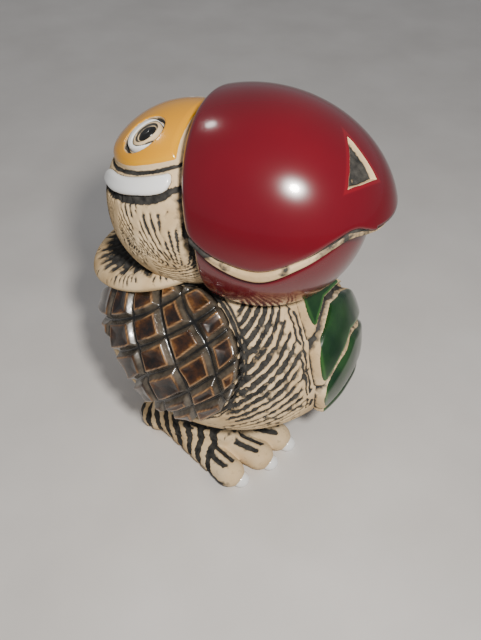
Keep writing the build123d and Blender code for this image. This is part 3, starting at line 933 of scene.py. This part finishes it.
lower = clay_ball("crimson_lower_beak", 7)
ways = read_points(lower)
points = cast(ways, np.array((7.0, 0.0, 47.0)), lower_beak_shape)
write_points(lower, points * MM)
brush = unevenness(points * MM * (2.5, 2.5, 0.6), 1.6, 4.0) - 0.5
mark(lower, glaze=ramp(41.6, 42.2, points[:, 2] + 3.0 * brush * ramp(4, 12, points[:, 0])),
     wash=0.75 * (1 - ramp(41.5, 43.5, points[:, 2])),
     thin=0.8 * (1 - ramp(44, 47, points[:, 2] + 2 * brush)))
only(lower)
bpy.ops.object.shade_smooth()
finish_piece(lower, crimson_finish, "crimson_glaze", "lower_beak")

# %% [markdown]
# Between the halves a lip of bare clay was left. It is modelled as a flat round slab, then
# bent so that its top follows the smile and its bottom the edge of the lower beak.

# %% Lip
lip = clay_ball("bare_lip", 7)
ways = read_points(lip)
upright = ways[:, 2]
spread = np.sqrt(np.clip(1 - np.abs(upright) ** 3, 0, 1)) / np.maximum(np.sqrt(1 - upright ** 2), 1e-6)
x = 5.4 + 20.6 * ways[:, 0] * spread
y = 16.95 * ways[:, 1] * spread
share = (np.sign(upright) * np.abs(upright) ** 0.8 + 1) / 2
z = lip_at(x) + (smile_at(x) + 0.9 - lip_at(x)) * share
points = np.stack((x, y, z), axis=1)
write_points(lip, points * MM)
cut_flat(lip, RIM_PLACE + 0.5 * MM * RIM_FACING, RIM_FACING)
points = read_points(lip) / MM
below_smile = smile_at(points[:, 0]) - points[:, 2]
hand = unevenness(points * MM, 0.9, 6.0) - 0.5
blotch = unevenness(points * MM, 2.2, 8.0)
rear = (1 - ramp(2.0, 7.0, points[:, 0] + 2 * hand)) * (1 - ramp(0.6, 1.2, below_smile))
front = ramp(16.5, 21.0, points[:, 0]) * (blotch > 0.45)
shadow = 1 - ramp(0.0, 0.14, below_smile + 0.15 * hand)
mark(lip, wash=np.maximum.reduce([
    0.95 * shadow, 0.62 * rear, 0.28 * front, 0.35 * ramp(0.62, 0.8, blotch)]) + DUST)
finish_piece(lip, clay_finish, "bare_clay", "beak_lip")

# %% [markdown]
# The tail is a thick round fan behind the head. Its top carries soft strokes of wash that
# spread from the body, and its rim was nicked all round and wiped clean.

# %% Tail fan
TAIL_PLACE = np.array((-13.4, 0.0, 42.8))
TAIL_TILT = math.radians(17.0)
TAIL_RADII = (14.8, 14.8)
TAIL_THICK = 3.2
tail_ahead = np.array((math.cos(TAIL_TILT), 0.0, math.sin(TAIL_TILT)))
tail_up = np.array((-math.sin(TAIL_TILT), 0.0, math.cos(TAIL_TILT)))


def tail_shape(points):
    local = points - TAIL_PLACE
    rim = (np.hypot(local @ tail_ahead / TAIL_RADII[0], local[:, 1] / TAIL_RADII[1]) - 1) * TAIL_RADII[1]
    flat = np.abs(local @ tail_up + TAIL_THICK / 2) - TAIL_THICK / 2
    return rounded(rim, flat, 2.6)


tail = clay_ball("fan_tail", 7)
ways = read_points(tail)
points = cast(ways, TAIL_PLACE - tail_up * TAIL_THICK / 2, tail_shape)
local = points - TAIL_PLACE
ahead = local @ tail_ahead + 2.0
turn = np.degrees(np.arctan2(local[:, 1], -ahead))
sway = unevenness(points * MM, 3.0, 4.0) - 0.5
fray = unevenness(points * MM, 0.8, 2.0) - 0.5
ray = np.abs(((turn + 5 * sway) / 12.0) % 1 - 0.5) * 2
rim_gap = -(np.hypot(local @ tail_ahead / TAIL_RADII[0], local[:, 1] / TAIL_RADII[1]) - 1) * TAIL_RADII[1]
upper_face = ramp(-1.2, -0.3, local @ tail_up)
rays = (1 - ramp(0.25, 0.75, ray + 0.3 * fray)) * ramp(1.4, 3.0, rim_gap + 1.6 * fray) * upper_face
nick_ray = np.abs(((turn + 5 * sway) / 4.0) % 1 - 0.5) * 2
nicks = (1 - ramp(0.2, 0.5, nick_ray)) * bell(rim_gap, 1.2, 0.9) * (unevenness(points * MM, 2.0, 1.0) > 0.5)
points = points - (0.35 * rays + 0.22 * nicks * upper_face)[:, None] * tail_up
write_points(tail, points * MM)
underside = 1 - ramp(-3.6, -2.6, local @ tail_up + 0.8 * fray)
smoky = upper_face * ramp(1.8, 4.5, rim_gap + 2.0 * fray + 1.6 * sway) * (0.56 + 0.20 * fray)
mark(tail, wash=np.maximum.reduce([0.58 * rays, 0.6 * nicks, smoky, 0.35 * underside * (fray > -0.1)]) + DUST)
only(tail)
bpy.ops.object.shade_smooth()
finish_piece(tail, clay_finish, "bare_clay", "tail")

# %% [markdown]
# The feet are rolled sausages of clay. Each toe is a bar with round ends, made from a cylinder
# and two balls. Joined, remeshed into one skin and smoothed, they blend as wet clay does. Then
# the sole is cut flat and the stripes are cut across the outer side.

# %% Feet
HEEL = (-12.6, -11.2)
TOE_TIPS = {"outer": (7.4, -18.4), "middle": (11.2, -12.4), "inner": (12.8, -6.7)}
TOE_RADIUS = 2.9
HEEL_RADIUS = 4.0
TOE_MIDDLE = 2.4  # height of the middle of a toe


def add_ball(centre, radii):
    place = [c * MM for c in centre]
    bpy.ops.mesh.primitive_uv_sphere_add(segments=48, ring_count=24, radius=1.0, location=place)
    bpy.ops.transform.resize(value=[r * MM for r in radii])
    bpy.ops.object.transform_apply(location=False, rotation=False, scale=True)
    return bpy.context.object


def add_bar(start, end, radius):
    start, end = Vector(start) * MM, Vector(end) * MM
    middle = (start + end) / 2
    turn = (end - start).to_track_quat("Z", "Y").to_euler()
    bpy.ops.mesh.primitive_cylinder_add(vertices=48, radius=radius * MM, depth=(end - start).length,
                                        location=middle, rotation=turn)
    return bpy.context.object


start_clean()
clay = []
for tip in TOE_TIPS.values():
    clay.append(add_bar((HEEL[0] + 2, HEEL[1], TOE_MIDDLE), (tip[0], tip[1], TOE_MIDDLE), TOE_RADIUS))
    clay.append(add_ball((tip[0], tip[1], TOE_MIDDLE), (TOE_RADIUS + 0.2, TOE_RADIUS + 0.1, TOE_RADIUS)))
clay.append(add_ball((HEEL[0] + 0.5, HEEL[1], 2.6), (HEEL_RADIUS + 0.6, HEEL_RADIUS, 3.0)))
clay.append(add_ball((-3.6, -11.6, 4.6), (10.5, 4.6, 5.4)))
for lump in clay:
    lump.select_set(True)
bpy.ops.object.join()
foot = bpy.context.object
foot.name = "right_striped_foot"
bpy.ops.object.transform_apply(location=True, rotation=True, scale=True)
remesh = foot.modifiers.new("one_skin", "REMESH")
remesh.mode = "VOXEL"
remesh.voxel_size = 0.24 * MM
bpy.ops.object.modifier_apply(modifier="one_skin")
smooth = foot.modifiers.new("damp_finger", "SMOOTH")
smooth.factor = 0.6
smooth.iterations = 12
bpy.ops.object.modifier_apply(modifier="damp_finger")
cut_flat(foot, (0, 0, 0), (0, 0, 1))
points = read_points(foot) / MM
sway = unevenness(points * MM, 3.0, 2.0) - 0.5
fray = unevenness(points * MM, 0.7, 6.0) - 0.5
outer_side = ramp(-12.5, -14.5, points[:, 1] + 0.12 * points[:, 0])
STRIPE_PITCH = 2.7
stripe_place = (points[:, 0] + 0.25 * points[:, 2] + 0.5 * sway) / STRIPE_PITCH
stripe = (1 - ramp(0.38, 0.62, np.abs(stripe_place % 1 - 0.5) * 2 + 0.4 * fray)) * outer_side
stripe *= (points[:, 0] < 4.5) * ramp(0.5, 1.2, points[:, 2])
toe_lines = np.zeros(len(points))
for tip in TOE_TIPS.values():
    run = np.array(tip) - np.array(HEEL)
    run /= np.linalg.norm(run)
    away = (points[:, 0] - tip[0]) * -run[1] + (points[:, 1] - tip[1]) * run[0]
    past = (points[:, 0] - tip[0]) * run[0] + (points[:, 1] - tip[1]) * run[1]
    past += 2 * fray
    reach = ramp(-5.2, -4.4, past) * (1 - ramp(-0.2, 0.6, past)) * ramp(3.0, 4.0, points[:, 2])
    toe_lines = np.maximum(toe_lines, (bell(away, 1.1, 0.5) + bell(away, -0.9, 0.5)) * reach)
# painted shade on the foot where the body hangs over it
body_gap = (np.linalg.norm((points * MM - BODY_CENTRE) / BODY_RADII, axis=1) - 1) * 20
painted_shade_under_body = 1 - ramp(1.0, 3.6, body_gap + 2.4 * fray)
# painted shade low between the toes, by the table
painted_shade_between_toes = bell(points[:, 0], 5.0, 3.0) * (1 - ramp(1.8, 3.2, points[:, 2] + 2 * fray)) * 0.6
points[:, 2] -= np.where(points[:, 2] > 2.5, 0.35 * toe_lines, 0)
points[:, 1] += 0.3 * stripe
write_points(foot, points * MM)
mark(foot, wash=np.maximum.reduce([0.85 * stripe, 0.85 * toe_lines, 0.9 * painted_shade_under_body, painted_shade_between_toes]) + DUST)
finish_piece(foot, clay_finish, "bare_clay", "right_foot")
left_foot = mirrored_copy(foot, "left_striped_foot")
finish_piece(left_foot, clay_finish, "bare_clay", "left_foot")

# %% [markdown]
# A claw is a drop of white glaze over a nub of clay at the end of each toe: a squashed ball,
# cut flat where it stands on the table.

# %% Claws
CLAW_RADII = (1.75, 1.75, 1.55)
for place, tip in TOE_TIPS.items():
    start_clean()
    claw = add_ball((tip[0] + 2.5, tip[1], 1.35), CLAW_RADII)
    claw.name = f"right_{place}_white_claw"
    bpy.ops.object.transform_apply(location=True, rotation=True, scale=True)
    cut_flat(claw, (0, 0, 0), (0, 0, 1))
    mark(claw, glaze=1.0, wash=0.0, thin=0.0)
    finish_piece(claw, white_finish, "white_glaze", f"right_{place}_claw")
    other = mirrored_copy(claw, f"left_{place}_white_claw")
    finish_piece(other, white_finish, "white_glaze", f"left_{place}_claw")

# %% [markdown]
# The setting: a plain pale table that reaches past the view, one soft lamp near the camera,
# which gives the small bright glints on the glaze, and a wide dim one to open the shadows.

# %% Table and lamps
start_clean()
bpy.ops.mesh.primitive_plane_add(size=6.0, location=(0, 0, 0))
table = bpy.context.object
table.name = "table"
table_finish, tree = new_finish("pale_table")
paper = speckle(tree, 40, 5, (-600, 0))
tone = steps(tree, paper, ((0.3, (0.66, 0.63, 0.60)), (0.7, (0.74, 0.71, 0.68))), (-400, 0))
sheet = new_node(tree, "ShaderNodeBsdfPrincipled", (0, 0))
sheet.inputs["Roughness"].default_value = 0.75
tree.links.new(tone, sheet.inputs["Base Color"])
output(tree, sheet.outputs["BSDF"])
table.data.materials.append(table_finish)

TARGET = Vector((0.0, 0.0, 0.04))


def lamp(name, place, size, power, colour):
    light = bpy.data.lights.new(name, "AREA")
    light.shape = "DISK"
    light.size = size
    light.energy = power
    light.color = colour
    holder = bpy.data.objects.new(name, light)
    holder.location = place
    holder.rotation_euler = (TARGET - Vector(place)).to_track_quat("-Z", "Y").to_euler()
    bpy.context.collection.objects.link(holder)
    return holder


lamp("key_lamp", (0.061, -0.076, 0.144), 0.015, 0.26, (1.0, 0.96, 0.90))
lamp("fill_lamp", (-0.60, 0.12, 0.73), 0.10, 0.6, (1.0, 0.98, 0.95))
world = bpy.data.worlds.new("room")
world.use_nodes = True
world.node_tree.nodes["Background"].inputs["Color"].default_value = (0.80, 0.82, 0.86, 1.0)
world.node_tree.nodes["Background"].inputs["Strength"].default_value = 0.33
bpy.context.scene.world = world

# %% [markdown]
# The camera is held a hand's length above the bird, to its right and a little ahead, and looks
# down at it steeply.

# %% Camera
lens = bpy.data.cameras.new("camera")
lens.lens = 36.56
lens.clip_start = 0.005
camera = bpy.data.objects.new("camera", lens)
camera.location = (0.0380, -0.0816, 0.1166)
camera.rotation_euler = (math.radians(44.7), 0.0, math.radians(24.0))
bpy.context.collection.objects.link(camera)
bpy.context.scene.camera = camera
